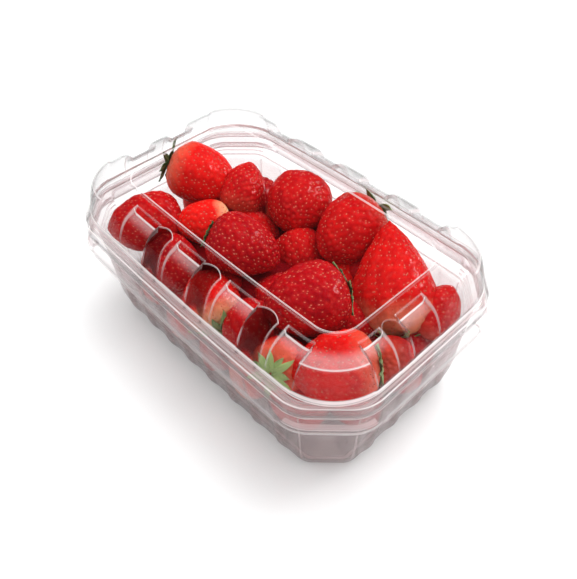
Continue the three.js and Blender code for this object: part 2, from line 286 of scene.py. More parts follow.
@dataclass(frozen=True)
class LidPlastic(ClearPlastic):
    """The lid's sheet: painted highlights along its bends, a painted reflection on windows and pads, and
    painted shade on its knobs.

    Places are insets from the foot of the wall in millimetres, and heights in metres.
    """

    grazing: float = 0.4
    # Painted highlights: their strength, and where the lines lie along bends, panel, flange and windows.
    crease_highlight: float = 0.6
    line: float = 0.3
    soft: float = 0.3
    flange: Pair = (-2.3, 0.35)
    flange_top: Pair = (0.0626, 0.0633)
    skirt_foot: float = 0.0574
    skirt_line: float = 0.0004
    panel_edge: Pair = (18.5, 20.4)
    window_foot: Pair = (0.6, 1.4)
    window_side: Pair = (-0.2, 0.2)
    window_top: float = 11.5
    # Painted reflection under the windows' tops.
    window_veil: float = 0.45
    veil_rise: Pair = (6.0, 11.3)
    riser_foot: Pair = (0.8, 1.6)
    riser_top: float = 13.4
    # Where the painted shade lies on the drums and the wall, and how dark it is.
    drum: Pair = (-0.9, 0.5)
    drum_foot: Pair = (1.0, 2.0)
    drum_edge: Pair = (0.93, 1.0)
    drum_line: float = 0.07
    drum_line_foot: Pair = (1.0, 3.0)
    drum_shade: float = 0.5
    cap_inset: float = 14.0
    cap_round: float = 2.4
    wall_foot: Pair = (-2.6, -2.0)
    wall_top: Pair = (14.0, 19.0)
    wall_shade: float = 0.05

    def drum_place(self, g: Graph) -> tuple[Socket, Socket]:
        """Finds where on a drum a point is.

        Args:
            g: the graph.

        Returns:
            Place across the drum, from -1 to 1, and inset made to round off its end.
        """
        low, high = self.drum
        place = (g.attribute("turned") - (low + high) / 2) * (2 / (high - low))
        return place, g.attribute("inset") + place**2.0 * self.cap_round

    def tint(self, g: Graph) -> Socket:
        """How much painted shade the drums and the wall lay over what shows through, standing in for how the
        knobs bend the light.

        Args:
            g: the graph.

        Returns:
            The share of grey.
        """
        place, rounded = self.drum_place(g)
        side = g.fade(abs(place), *self.drum_edge)
        ends = g.fade(rounded, self.cap_inset - 0.2, self.cap_inset) * g.ease(rounded, *self.drum_foot)
        middle = g.line(place, 0.0, 1.0) * 0.3 + 0.7
        drum = side * ends * g.attribute("lens") * middle * self.drum_shade
        inset = g.attribute("inset")
        return drum + g.ease(inset, *self.wall_foot) * g.fade(inset, *self.wall_top) * self.wall_shade

    def drum_lines(self, g: Graph) -> Socket:
        """Painted highlight lines down both sides of the drums and round their ends.

        Args:
            g: the graph.

        Returns:
            The strength of the lines.
        """
        inset = g.attribute("inset")
        place, rounded = self.drum_place(g)
        off = abs(place)
        below_cap = g.fade(rounded, self.cap_inset, self.cap_inset + self.soft)
        sides = g.line(off, 1.0, self.drum_line) * (below_cap * g.ease(inset, *self.drum_line_foot))
        cap = g.line(rounded, self.cap_inset, self.line) * g.fade(off, 1.0, 1.06)
        return (sides * 0.35 + cap * 0.5) * g.attribute("lens")

    def window_lines(self, g: Graph) -> Socket:
        """Painted highlight lines up the windows' ends and along their tops.

        Args:
            g: the graph.

        Returns:
            The strength of the lines.
        """
        inset, across = g.attribute("inset"), g.attribute("across")
        on_wall = g.ease(inset, *self.riser_foot) * g.fade(inset, self.riser_top, self.riser_top + self.soft)
        ends = g.line(across, 0.0, self.line) * on_wall
        inside = g.ease(across, *self.window_side)
        tops = g.line(inset, self.window_top, self.line) + g.line(inset, self.riser_top, self.line) * 0.2
        return ends * 0.5 + tops * inside

    def film(self, g: Graph) -> Socket:
        """How much of a pale film lies on it, with every painted highlight line and a painted reflection
        under the windows' tops.

        Args:
            g: the graph.

        Returns:
            The share of film.
        """
        inset, across = g.attribute("inset"), g.attribute("across")
        height = g.height(g.place())
        low, high = self.panel_edge
        panel = g.line(inset, high, self.line) * 0.8 + g.line(inset, low, self.line) * 0.2
        brim = g.line(inset, self.flange[0], self.line) * g.ease(height, *self.flange_top)
        brim = brim + g.line(inset, self.flange[1], self.line) * 1.4
        brim = brim + g.line(height, self.skirt_foot, self.skirt_line) * 0.8
        window = g.ease(across, *self.window_side) * g.ease(inset, *self.window_foot)
        window = window * g.fade(inset, self.window_top, self.window_top + self.soft)
        veiled = window * g.ease(inset, *self.veil_rise) * self.reflection_veil * self.window_veil
        # Painted highlights at the windows, drums, panel and flange.
        lines = self.window_lines(g) + self.drum_lines(g) + panel + brim
        return super().film(g) + lines * self.crease_highlight + veiled


@dataclass(frozen=True)
class TrayPlastic(ClearPlastic):
    """The tray's sheet, crumpled, with painted shade low down where it turns under onto the floor; heights
    in metres.
    """

    # The pink of the sheet and of its haze is painted light: red light from the berries bounced through the
    # tray, also tinting its shadow.
    face: Triple = (0.97, 0.955, 0.957)
    edge: Triple = (0.40, 0.36, 0.36)
    haze: float = 0.17
    haze_colour: Triple = (0.76, 0.63, 0.63)
    straight_on: float = 0.012
    streak: float = 0.35
    crumpled: Pair = (0.024, 0.044)
    # Painted shade at the foot, where the tray meets the floor.
    low: float = 0.75
    foot_shade_zone: Pair = (0.003, 0.014)
    rim_zone: Pair = (0.044, 0.050)
    rim_clear: float = 0.85
    # Painted highlight lines round the rim, the foot and the corners.
    line: float = 0.0004
    rim_lines: Pair = (0.0494, 0.0618)
    corner_rim_lines: Pair = (0.0520, 0.0544)
    foot_line: Pair = (0.0022, 0.0007)
    corner_lines: Pair = (0.1, 0.9)
    corner_line: float = 0.03
    corner_top: Pair = (0.0465, 0.0475)

    def tint(self, g: Graph) -> Socket:
        """How much darker what shows through is, besides the edges: crumpled streaks, and painted shade at
        the foot.

        Args:
            g: the graph.

        Returns:
            The share of grey, less of it round the corners.
        """
        height, lens = g.height(g.place()), g.attribute("lens")
        crumpled = super().tint(g) * g.fade(height, *self.crumpled) * lens
        # Painted shade low down, darkening what shows through the foot.
        return crumpled + g.fade(height, *self.foot_shade_zone) * (lens * 0.5 + 0.5) * self.low

    def film(self, g: Graph) -> Socket:
        """How much of a pale film lies on it, with painted highlight lines round the rim and foot and at the
        corners.

        Args:
            g: the graph.

        Returns:
            The share of film.
        """
        height = g.height(g.place())
        corner = 1.0 - g.attribute("lens")
        lines = g.line(height, *self.foot_line)
        for place in self.rim_lines:
            lines = lines + g.line(height, place, self.line)
        for place in self.corner_rim_lines:
            lines = lines + g.line(height, place, self.line) * corner * 1.4
        below_rim = g.fade(height, *self.corner_top)
        for place in self.corner_lines:
            lines = lines + g.line(g.attribute("across"), place, self.corner_line) * below_rim * 0.5
        kept = 1.0 - g.ease(height, *self.rim_zone) * self.rim_clear
        return super().film(g) * kept + lines * self.crease_highlight


@dataclass(frozen=True)
class BerrySkin:
    """Ripe skin: crimson, paler towards the calyx, lighter in the dimples, a little translucent."""

    name: str = "berry_skin"
    deep: Triple = (0.27, 0.0003, 0.005)
    bright: Triple = (0.80, 0.010, 0.006)
    pit: Triple = (0.72, 0.06, 0.045)
    unripe: Triple = (0.80, 0.45, 0.24)
    glow: Triple = (0.9, 0.06, 0.03)
    glow_depth: float = 0.0035
    glow_share: float = 0.25
    bend: float = 1.42
    sheen: float = 0.09
    blotches: float = 90.0
    mottles: float = 420.0
    wet: float = 200.0
    wettest: float = 0.06
    grain: float = 900.0
    grain_depth: float = 0.0004

    def make(self) -> bpy.types.Material:
        """Builds the material.

        Returns:
            The material, which reads how ripe each berry is from its attributes.
        """
        g = Graph(bpy.data.materials.new(self.name))
        along, pale, tone, dimple = (g.attribute(key) for key in ("along", "pale", "tone", "dimple"))
        blotch = g.noise(self.blotches, 3.0)
        mottle = (g.noise(self.mottles) - 0.5) * 0.5
        red = g.mix_colour((tone * 0.7 + blotch * 0.6 - 0.19 + mottle).clamp(), self.deep, self.bright)
        pitted = g.mix_colour((dimple**2.0 * 0.4).clamp(), red, self.pit)
        shoulder = (pale * (1.2 - along * 3.6) + (blotch - 0.5) * 0.9 * pale).clamp()
        others = {
            "IOR": self.bend,
            "Specular IOR Level": self.sheen,
            "Subsurface Weight": self.glow_share,
            "Subsurface Radius": self.glow,
            "Subsurface Scale": self.glow_depth,
            "Normal": g.bump(g.noise(self.grain), 0.25, self.grain_depth),
        }
        roughness = (self.wettest + g.noise(self.wet) * 0.34).clamp()
        return g.finish(g.principled(g.mix_colour(shoulder, pitted, self.unripe), roughness, others))


@dataclass(frozen=True)
class SeedCoat:
    """Seeds: straw yellow, some redder."""

    name: str = "seed_coat"
    straw: Triple = (0.68, 0.18, 0.11)
    rust: Triple = (0.60, 0.06, 0.035)
    patches: float = 140.0
    roughness: float = 0.25

    def make(self) -> bpy.types.Material:
        """Builds the material.

        Returns:
            The material.
        """
        g = Graph(bpy.data.materials.new(self.name))
        share = (g.noise(self.patches, 1.0) * 2.4 - 0.7).clamp()
        return g.finish(g.principled(g.mix_colour(share, self.straw, self.rust), self.roughness))


@dataclass(frozen=True)
class LeafSkin:
    """Calyx leaves: green, paler at the foot and along the midrib."""

    name: str = "leaf_skin"
    dark: Triple = (0.035, 0.085, 0.02)
    fresh: Triple = (0.34, 0.48, 0.17)
    rib: Triple = (0.42, 0.50, 0.20)
    patches: float = 220.0
    grain: float = 700.0
    grain_depth: float = 0.0003
    roughness: float = 0.55

    def make(self) -> bpy.types.Material:
        """Builds the material.

        Returns:
            The material.
        """
        g = Graph(bpy.data.materials.new(self.name))
        tone = g.attribute("tone") + (g.noise(self.patches) - 0.5) * 0.4
        green = g.mix_colour(tone.clamp(), self.dark, self.fresh)
        ribbed = g.mix_colour((g.attribute("rib") * 0.6).clamp(), green, self.rib)
        bump = g.bump(g.noise(self.grain), 0.4, self.grain_depth)
        return g.finish(g.principled(ribbed, self.roughness, {"Normal": bump}))


@dataclass(frozen=True)
class Paper:
    """Plain pale studio floor."""

    name: str = "studio_floor"
    colour: Triple = (0.872, 0.886, 0.886)
    shade: Triple = (0.83, 0.84, 0.84)
    patches: float = 3.0
    unevenness: float = 0.02
    roughness: float = 0.8
    glow: float = 0.03

    def make(self) -> bpy.types.Material:
        """Builds the material.

        Returns:
            The material.
        """
        g = Graph(bpy.data.materials.new(self.name))
        tint = g.mix_colour(g.noise(self.patches) * self.unevenness, self.colour, self.shade)
        glow = {"Emission Color": rgba(WHITE), "Emission Strength": self.glow}
        return g.finish(g.principled(tint, self.roughness, glow))


# ---------------------------------------------------------------- mesh helpers
def mesh_object(
    name: str,
    points: np.ndarray,
    faces: Sequence[Face],
    material: bpy.types.Material,
    attributes: Optional[dict[str, np.ndarray]] = None,
) -> bpy.types.Object:
    """Makes a smooth shaded mesh object at the origin.

    Args:
        name: the object's name.
        points: vertices in millimetres, one a row.
        faces: vertex numbers of each face.
        material: its only material.
        attributes: numbers for each vertex, by attribute name.

    Returns:
        The object, linked to the scene.
    """
    mesh = bpy.data.meshes.new(name)
    mesh.from_pydata((np.asarray(points) * MM).tolist(), [], faces)
    for key, values in (attributes or {}).items():
        layer = mesh.attributes.new(key, "FLOAT", "POINT")
        layer.data.foreach_set("value", np.asarray(values, dtype=np.float32))
    mesh.materials.append(material)
    mesh.polygons.foreach_set("use_smooth", [True] * len(mesh.polygons))
    mesh.update()
    made = bpy.data.objects.new(name, mesh)
    bpy.context.scene.collection.objects.link(made)
    return made


def settle(piece: bpy.types.Object, node: str) -> None:
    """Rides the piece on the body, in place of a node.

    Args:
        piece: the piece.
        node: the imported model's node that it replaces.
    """
    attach(piece, BODY)
    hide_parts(node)
    LOG.info("%s: %d faces", piece.name, len(piece.data.polygons))


def ball_faces(rows: int, columns: int) -> list[Face]:
    """Faces of a closed form with a pole at either end.

    Args:
        rows: rings between the poles.
        columns: vertices in a ring.

    Returns:
        The faces, over vertices numbered from the first pole, ring by ring, to the last pole. They
        point outwards where the rings run anticlockwise seen from the last pole.
    """
    last = rows * columns + 1
    faces: list[Face] = []
    for i in range(columns):
        j = (i + 1) % columns
        faces += [(0, 1 + j, 1 + i), (last, last - columns + i, last - columns + j)]
        for low in range(1, last - columns, columns):
            faces.append((low + i, low + j, low + columns + j, low + columns + i))
    return faces


def smooth(value: Any) -> Any:
    """Eases from 0 to 1."""
    t = np.clip(value, 0.0, 1.0)
    return t * t * (3.0 - 2.0 * t)


def mix(first: Any, second: Any, share: float) -> Any:
    """Mixes two values or arrays, by share of the second."""
    return first * (1 - share) + second * share


# ---------------------------------------------------------------- outlines
HALF_TURN = math.tan(math.pi / 8)
LEG_OF_ARC = 2.0 - math.sqrt(2.0)
MOST_TURN = 0.7
NORMALS = ((1.0, 0.0), (0.0, 1.0), (-1.0, 0.0), (0.0, -1.0))
RUNS = ((0.0, 1.0), (-1.0, 0.0), (0.0, -1.0), (1.0, 0.0))


def in_plane(side: int, out: float, along: float) -> Pair:
    """Point so far out from the middle and so far along that side."""
    n, t = NORMALS[side], RUNS[side]
    return n[0] * out + t[0] * along, n[1] * out + t[1] * along


@dataclass(frozen=True)
class Outline:
    """Rectangle with chamfered corners, each of whose two turns is rounded."""

    half_length: float
    half_width: float
    leg: float
    radius: float
    bow: float = 1.0

    def reach(self, side: int) -> float:
        """Distance from the middle to that side."""
        return self.half_width if side % 2 else self.half_length

    def straight(self, side: int) -> float:
        """Half of the straight run of that side."""
        return (self.half_length if side % 2 else self.half_width) - self.leg - self.radius * HALF_TURN

    def turn_at(self, side: int, s: float) -> float:
        """How far the outline has turned at distance s along a side, in radians."""
        beyond = max(0.0, (abs(s) - self.straight(side)) / self.radius)
        return MOST_TURN * (1.0 - math.exp(-beyond / MOST_TURN))

    def on_side(self, side: int, s: float) -> Pair:
        """Finds a point on a side.

        Args:
            side: the side, the long ones being odd and bowed.
            s: distance from the side's middle.

        Returns:
            The point.
        """
        flat = self.straight(side)
        turn = self.turn_at(side, s)
        bow = self.bow * max(0.0, 1.0 - (s / flat) ** 2) if side % 2 else 0.0
        along = math.copysign(flat + self.radius * math.sin(turn), s) if turn > 0 else s
        return in_plane(side, self.reach(side) - self.radius * (1.0 - math.cos(turn)) + bow, along)

    def round_corner(self, side: int, turn: float) -> Pair:
        """Finds a point on the corner after a side.

        Args:
            side: the side.
            turn: how far the outline has turned there, in radians.

        Returns:
            The point.
        """
        after = (side + 1) % 4
        if turn < math.pi / 4:
            centre = in_plane(side, self.reach(side) - self.radius, self.straight(side))
        else:
            centre = in_plane(after, self.reach(after) - self.radius, -self.straight(after))
        arm = in_plane(side, self.radius * math.cos(turn), self.radius * math.sin(turn))
        return centre[0] + arm[0], centre[1] + arm[1]


@dataclass(frozen=True)
class Station:
    """A place round the outline: along a side, or round a corner by share."""

    side: int
    s: float = 0.0
    share: Optional[float] = None
    before: float = 0.0
    after: float = 0.0

    def place(self, outline: Outline) -> Pair:
        """Finds this station on an outline.

        Args:
            outline: the outline.

        Returns:
            The point.
        """
        if self.share is None:
            return outline.on_side(self.side, self.s)
        start = outline.turn_at(self.side, self.before)
        end = math.pi / 2 - outline.turn_at((self.side + 1) % 4, self.after)
        return outline.round_corner(self.side, start + (end - start) * self.share)


# ---------------------------------------------------------------- formed sheets
@dataclass
class FormedSheet:
    """A thin sheet looped round an outline, with a rounded profile at every station."""

    FAR: ClassVar[float] = 9.0

    ends: Pair = (0.0, 0.0)
    spread: float = 1.0
    thickness: float = 0.6
    bend_steps: int = 5
    corner_steps: int = 22
    even_step: float = 2.4
    least_step: float = 0.12
    change_steps: int = 9

    def outline(self, inset: float) -> Outline:
        """The outline at that inset."""
        raise NotImplementedError

    def controls(self, station: Station) -> np.ndarray:
        """Corner points [inset, height, bend radius, crease] of the profile at a station."""
        raise NotImplementedError

    def edges(self, side: int) -> list[float]:
        """Places along a side where the profile changes."""
        raise NotImplementedError

    def across(self, station: Station) -> Triple:
        """The finish's attributes across, turned and lens at a station."""
        raise NotImplementedError

    def reflection_veil(self, station: Station, inset: float) -> float:
        """How much painted reflection lies on the sheet there, as pale film."""
        return 0.0

    def side_places(self, side: int) -> list[float]:
        """Distances along a side, closer together round each change.

        Args:
            side: the side.

        Returns:
            The distances in order.
        """
        end = self.ends[side % 2]
        even = np.arange(-end, end + 0.01, self.even_step)
        near = self.spread * np.linspace(-1.0, 1.0, self.change_steps)
        dense = [edge + step for edge in self.edges(side) for step in near]
        low, high = min([-end, *dense]), max([end, *dense])
        kept = sorted([p for p in [*even, *dense, low, high] if low <= p <= high])
        places = [kept[0]]
        for p in kept[1:]:
            if p - places[-1] > self.least_step:
                places.append(float(p))
        return places

    def stations(self) -> list[Station]:
        """Finds every station, side by side with the corners between.

        Returns:
            The stations in order.
        """
        sides = [self.side_places(side) for side in range(4)]
        shares = (np.arange(self.corner_steps) + 0.5) / self.corner_steps
        found: list[Station] = []
        for side, places in enumerate(sides):
            after = sides[(side + 1) % 4][0]
            found += [Station(side, s) for s in places]
            found += [Station(side, 0.0, float(w), places[-1], after) for w in shares]
        return found

    def rounded(self, controls: np.ndarray) -> np.ndarray:
        """Rounds a profile at its corner points.

        Args:
            controls: rows [inset, height, bend radius, crease].

        Returns:
            Rows [inset, height, crease] along the profile.
        """
        points = controls[:, :2]
        line = [[*points[0], 0.0]]
        t = ((np.arange(self.bend_steps) + 0.5) / self.bend_steps)[:, None]
        middle = (1.0 - np.abs(2.0 * t - 1.0)) ** 2
        for i in range(1, len(points) - 1):
            back, ahead = points[i - 1] - points[i], points[i + 1] - points[i]
            radius = controls[i, 2]
            start = points[i] + back * min(0.5, radius / max(1e-6, np.linalg.norm(back)))
            end = points[i] + ahead * min(0.5, radius / max(1e-6, np.linalg.norm(ahead)))
            bend = (1 - t) ** 2 * start + 2 * t * (1 - t) * points[i] + t**2 * end
            # The last column paints a highlight along the bend, strongest at its middle.
            line.extend(np.hstack([bend, middle * controls[i, 3]]))
        line.append([*points[-1], 0.0])
        return np.array(line)

    def moved(self, line: np.ndarray) -> np.ndarray:
        """Moves a profile by the thickness, for the sheet's second face.

        Args:
            line: rows [inset, height, crease].

        Returns:
            The moved rows.
        """
        flat = line[:, :2]
        steps = np.diff(np.vstack([flat, flat[-1] + [1.0, 0.0]]), axis=0)
        steps /= np.maximum(np.linalg.norm(steps, axis=1), 1e-9)[:, None]
        normals = np.stack([steps[:, 1], -steps[:, 0]], axis=1)
        before = np.vstack([normals[:1], normals[:-1]])
        scale = self.thickness / np.maximum(0.3, 1.0 + (before * normals).sum(axis=1))
        return np.hstack([flat + (before + normals) * scale[:, None], line[:, 2:]])

    def build(self, name: str, material: bpy.types.Material) -> bpy.types.Object:
        """Loops the profile round the stations, on both faces, and closes the middle.

        Args:
            name: the piece's name.
            material: its finish.

        Returns:
            The object.
        """
        stations = self.stations()
        lines = [self.rounded(self.controls(station)) for station in stations]
        places = [self.across(station) for station in stations]
        count, rings = len(stations), len(lines[0])
        points: list[Triple] = []
        columns: list[tuple[float, ...]] = []
        faces: list[Face] = []
        for turned in (False, True):
            base = len(points)
            drawn = [self.moved(line) if turned else line for line in lines]
            for ring in range(rings):
                for station, place, line in zip(stations, places, drawn):
                    inset, height, crease_highlight = (float(value) for value in line[ring])
                    points.append((*station.place(self.outline(inset)), height))
                    columns.append((inset, crease_highlight, self.reflection_veil(station, inset), *place))
            middle = len(points)
            points.append((0.0, 0.0, points[-1][2]))
            columns.append((columns[-1][0], 0.0, 0.0, 0.0, 0.0, 0.0))
            for i in range(count):
                j = (i + 1) % count
                rim = [(base + ring * count, base + (ring + 1) * count) for ring in range(rings - 1)]
                patch = [(low + i, low + j, high + j, high + i) for low, high in rim]
                patch.append((middle - count + i, middle - count + j, middle))
                faces += [face[::-1] if turned else face for face in patch]
        second = len(points) // 2
        faces += [((i + 1) % count, i, second + i, second + (i + 1) % count) for i in range(count)]
        keys = ("inset", "crease_highlight", "reflection_veil", "across", "turned", "lens")
        return mesh_object(name, np.array(points), faces, material, dict(zip(keys, np.array(columns).T)))


@dataclass
class Lid(FormedSheet):
    """Press-on lid: skirt, flange, wall with knobs and windows, crown and recessed panel."""

    ends: Pair = (26.0, 60.0)
    rim: tuple[float, float, float, float] = (93.0, 58.75, 21.0, 17.0)
    foot: Triple = (90.5, 55.0, 28.0)
    rim_width: float = 2.5
    skirt_z: float = 57.1
    flange_z: float = 63.8
    crown_z: float = 80.9
    crown_inset: float = 18.5
    panel_z: float = 79.2
    panel_inset: float = 20.4
    panel_run: float = 3.0
    knob: tuple = ((1.4, 68), (2.8, 72), (4.4, 75.8), (6.4, 78.6), (9.0, 80.3), (12.2, 80.9))
    tile: tuple = ((1.2, 68.2), (2.6, 71.2), (5.0, 74.6), (8.4, 76.6), (11.4, 77.1), (13.4, 80.9))
    pad: tuple = ((0.9, 68), (1.8, 72.5), (2.9, 76.6), (4.3, 79.2), (6.6, 80.5), (10.0, 80.9))
    shoulder: tuple = ((1.2, 68), (2.4, 72.2), (3.8, 76.1), (5.5, 78.8), (7.8, 80.4), (11.0, 80.9))
    # Bends: radius, and strength of the highlight painted along the bend.
    soft: tuple = ((9.0, 0.0),) * 6
    tile_bends: tuple = ((9.0, 0.0),) * 4 + ((1.0, 0.0),) * 2
    pad_bends: tuple = ((9.0, 0.0),) * 3 + ((0.8, 0.9),) + ((9.0, 0.0),) * 2
    tile_edge: float = 1.3
    # Strength of the painted shade on each side's knobs.
    lens: tuple[float, float, float, float] = (0.4, 0.15, 0.15, 1.0)
    pad_limit: Pair = (32.0, 62.0)
    pad_blend: float = 1.5
    shoulder_blend: float = 3.0
    # Painted reflection over the pads and the flange, strongest on the front sides.
    high_veil: tuple[float, float, float, float] = (4.2, 1.0, 12.0, 5.0)
    low_veil: tuple[float, float, float, float] = (0.3, 2.0, 6.0, 2.0)
    low_share: float = 0.12
    flange_veil: float = 0.05
    front_veil: float = 0.42
    other_veil: float = 0.08
    tiles: tuple = (
        ((-29.7, -18.7), (-8.4, 6.0)),
        ((-58.3, -43.6), (-27.9, -12.5), (5.1, 18.1), (35.8, 49.7)),
        ((-14.4, -2.1), (8.8, 21.3)),
        ((-44.4, -27.4), (-11.7, 3.9), (21.0, 37.0), (54.1, 68.0)),
    )

    def outline(self, inset: float) -> Outline:
        """Finds the outline at an inset.

        Args:
            inset: distance in from the foot of the wall; less than 0 out on the flange.

        Returns:
            The outline.
        """
        hl, hw, r = self.foot
        if inset >= 0.0:
            radius = r - 0.8 * inset
            return Outline(hl - 0.967 * inset, hw - 1.054 * inset, radius * LEG_OF_ARC, radius)
        share = -inset / self.rim_width
        start = (hl, hw, r * LEG_OF_ARC, r)
        return Outline(*[a + (b - a) * share for a, b in zip(start, self.rim)])

    def edges(self, side: int) -> list[float]:
        """Both ends of every window of that side, and where the pads end."""
        half, limit = self.tile_edge / 2, self.pad_limit[side % 2] + self.pad_blend / 2
        return [place for a, b in self.tiles[side] for place in (a - half, b + half)] + [-limit, limit]

    def shares(self, station: Station) -> Triple:
        """Finds what the wall is at a station.

        Args:
            station: the station.

        Returns:
            How much of a shoulder, of a pad and of a window it is.
        """
        if station.share is not None:
            return 0.0, 1.0, 0.0
        s, tiles = station.s, self.tiles[station.side]
        outer = max(0.0, max(tiles[0][0] - s, s - tiles[-1][1]))
        past = abs(s) - self.pad_limit[station.side % 2]
        inside = 0.0
        for start, end in tiles:
            rise = smooth((s - start + self.tile_edge) / self.tile_edge)
            fall = smooth((end + self.tile_edge - s) / self.tile_edge)
            inside = max(inside, float(rise * fall))
        return float(smooth(outer / self.shoulder_blend)), float(smooth(past / self.pad_blend)), inside

    def across(self, station: Station) -> Triple:
        """Finds the lid's attributes at a station.

        Args:
            station: the station.

        Returns:
            How far inside a window it is, where across a knob, and how strong the painted shade of the
            knob's lens is.
        """
        if station.share is not None:
            return -self.FAR, self.FAR, 0.0
        s, tiles = station.s, self.tiles[station.side]
        depth = max(min(s - start, end - s) for start, end in tiles) + self.tile_edge / 2
        for before, after in zip(tiles, tiles[1:]):
            if before[1] <= s <= after[0]:
                middle, half = (before[1] + after[0]) / 2, (after[0] - before[1]) / 2
                return depth, (s - middle) / half, self.lens[station.side]
        return depth, self.FAR, 0.0

    def reflection_veil(self, station: Station, inset: float) -> float:
        """Paints a pale reflection over the pads' upper parts, most at the front corner, and over the
        flange.

        Args:
            station: the station.
            inset: distance in from the foot of the wall.

        Returns:
            How much painted reflection lies there.
        """
        to_pad, inside = self.shares(station)[1:]
        high, low = (
            float(smooth((inset - start) / rise) * smooth((end - inset) / fall))
            for start, rise, end, fall in (self.high_veil, self.low_veil)
        )
        corner = station.share is not None
        front = (station.side == 3 and (corner or station.s > 0.0)) or (
            station.side == 0 and not corner and station.s < 0.0
        )
        strength = self.front_veil if front else self.other_veil
        flange = self.flange_veil if inset < self.low_veil[0] else 0.0
        return strength * max(high, self.low_share * low) * to_pad * (1 - inside) + flange

    def controls(self, station: Station) -> np.ndarray:
        """Mixes the wall's profile from pad, shoulder, knob and window.

        Args:
            station: the station.

        Returns:
            Rows [inset, height, bend radius, crease] from the skirt to the panel.
        """
        knob, tile, pad, shoulder = (
            np.hstack([np.array(rows, dtype=float), bends])
            for rows, bends in (
                (self.knob, self.soft),
                (self.tile, self.tile_bends),
                (self.pad, self.pad_bends),
                (self.shoulder, self.soft),
            )
        )
        to_shoulder, to_pad, inside = self.shares(station)
        wall = mix(mix(mix(knob, shoulder, to_shoulder), pad, to_pad), tile, inside)
        brim = [
            [-self.rim_width, self.skirt_z, 0.0, 0.0],
            [-self.rim_width, self.flange_z, 0.7, 0.0],
            [0.0, self.flange_z, 0.8, 0.0],
        ]
        crown = [
            [self.crown_inset, self.crown_z, 0.6, 0.0],
            [self.panel_inset, self.panel_z, 0.6, 0.0],
            [self.panel_inset + self.panel_run, self.panel_z, 0.0, 0.0],
        ]
        return np.vstack([brim, wall, crown])


@dataclass
class Tray(FormedSheet):
    """Tray: rim lip with a skirt outside, and a ribbed body with chamfered corners."""

    ends: Pair = (31.0, 65.5)
    spread: float = 2.2
    rim: tuple[float, float, float, float] = (95.0, 60.75, 21.5, 18.0)
    rib_pitch: float = 16.0
    rib_half_width: float = 4.5
    rib_depth: float = 1.6
    rib_counts: tuple[int, int] = (4, 8)
    corner_lens: float = 0.35
    # Rows: inset, height, bend radius, and strength of the highlight painted along the bend.
    side_rim: tuple = ((0.0, 49, 0, 0), (0.8, 56, 0.8, 0.4), (4.0, 56.4, 0.7, 0), (4.0, 61.9, 0.6, 0.4))
    corner_rim: tuple = ((0.6, 49, 0, 0), (0.8, 52.4, 0.8, 0.1), (4.0, 53, 0.7, 0), (4.0, 61.9, 0.6, 0.4))
    body: tuple = (
        (7.2, 62.4, 0.8, 0.2),
        (8.6, 49, 3.0, 0.0),
        (8.9, 44, 3.0, 0.0),
        (10.8, 13, 6.0, 0.0),
        (13.4, 4, 9.0, 0.0),
        (19.5, 0.6, 3.0, 0.0),
        (27.0, 0.6, 0.0, 0.0),
    )
    ribbed: tuple[int, ...] = (6, 7)

    def outline(self, inset: float) -> Outline:
        """The outline at that inset from the rim."""
        hl, hw, leg, radius = self.rim
        return Outline(hl - inset, hw - inset, leg - 0.586 * inset, max(2.0, radius - 0.8 * inset))

    def ribs(self, side: int) -> np.ndarray:
        """Middles of the ribs along a side."""
        count = self.rib_counts[side % 2]
        return (np.arange(count) - (count - 1) / 2) * self.rib_pitch

    def edges(self, side: int) -> list[float]:
        """Middles of the ribs' flanks, and where the corners start."""
        end, half = self.ends[side % 2], self.rib_half_width / 2
        return [float(rib + flank) for rib in self.ribs(side) for flank in (-half, half)] + [-end, end]

    def across(self, station: Station) -> Triple:
        """Share of the way round a corner, and how crumpled the wall is there."""
        corner = station.share is not None
        return (station.share, self.FAR, self.corner_lens) if corner else (-self.FAR, self.FAR, 1.0)

    def rib(self, station: Station) -> float:
        """Finds how far the nearest rib stands out.

        Args:
            station: the station.

        Returns:
            The distance in millimetres.
        """
        if station.share is not None:
            return 0.0
        near = float(np.abs(self.ribs(station.side) - station.s).min())
        return self.rib_depth * float(smooth(1.0 - near / self.rib_half_width))

    def controls(self, station: Station) -> np.ndarray:
        """Mixes the profile from a side's and a corner's, with the ribs.

        Args:
            station: the station.

        Returns:
            Rows [inset, height, bend radius, crease] from the skirt to the floor.
        """
        end = self.ends[station.side % 2]
        to_corner = 1.0 if station.share is not None else float(smooth((abs(station.s) - end + 1.5) / 2))
        rim = mix(np.array(self.side_rim), np.array(self.corner_rim), to_corner)
        table = np.vstack([rim, np.array(self.body, dtype=float)])
        table[list(self.ribbed), 0] -= self.rib(station)
        return table


# ---------------------------------------------------------------- berries
class Ripeness(Enum):
    """How a berry is coloured: share of pale shoulder, and lightness of the red."""

    DEEP = (0.0, 0.25)
    RED = (0.1, 0.5)
    BRIGHT = (0.25, 0.9)
    PALE_SHOULDER = (0.8, 0.6)
    HALF_PALE = (0.6, 0.6)
    ORANGE = (1.0, 1.2)


